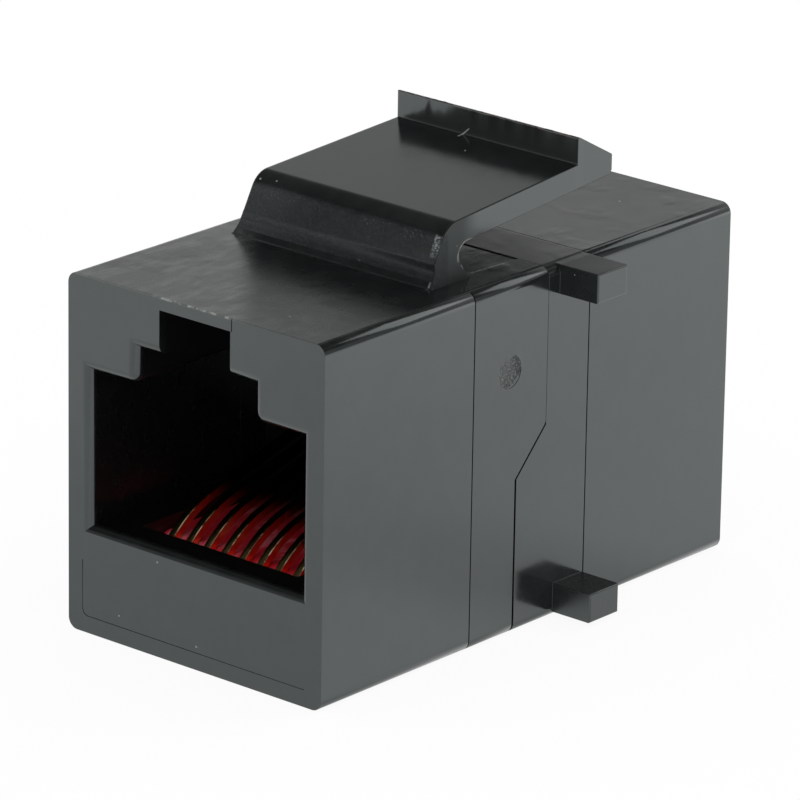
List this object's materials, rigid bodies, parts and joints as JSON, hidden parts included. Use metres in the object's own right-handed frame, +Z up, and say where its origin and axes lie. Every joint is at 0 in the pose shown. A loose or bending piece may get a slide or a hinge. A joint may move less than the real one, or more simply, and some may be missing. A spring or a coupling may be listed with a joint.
{
  "type": "ethernet inline coupler",
  "caption": "Inline coupler with a stepped modular port at each end, spring contacts, side studs and a sprung latch arm for panel mounting.",
  "frame": {"origin": "centre of the bounding box's bottom face: on the flat bottom of the coupler, at mid length", "axes": "+Y along the coupler from the front port to the rear port, +Z up through the latch arm, +X to the right seen from the front port"},
  "size_m": [0.0186, 0.0268, 0.0205],
  "materials": {
    "housing": "semi-gloss moulded black",
    "carrier": "glossy red",
    "contact": "gold plated"
  },
  "bodies": {
    "coupler": {"front_housing": "housing", "rear_housing": "housing", "front_carrier": "carrier", "rear_carrier": "carrier", "contact_wire_1": "contact", "contact_wire_2": "contact", "contact_wire_3": "contact", "contact_wire_4": "contact", "contact_wire_5": "contact", "contact_wire_6": "contact", "contact_wire_7": "contact", "contact_wire_8": "contact"},
    "latch": {"latch_arm": "housing"}
  },
  "joints": [
    {"name": "latch_press", "type": "hinge", "parent": "coupler", "child": "latch", "pos_m": [0, -0.00363, 0.017], "axis": [-1, 0, 0], "range_deg": [0, 9], "stiffness_Nm_per_rad": 0.05}
  ]
}
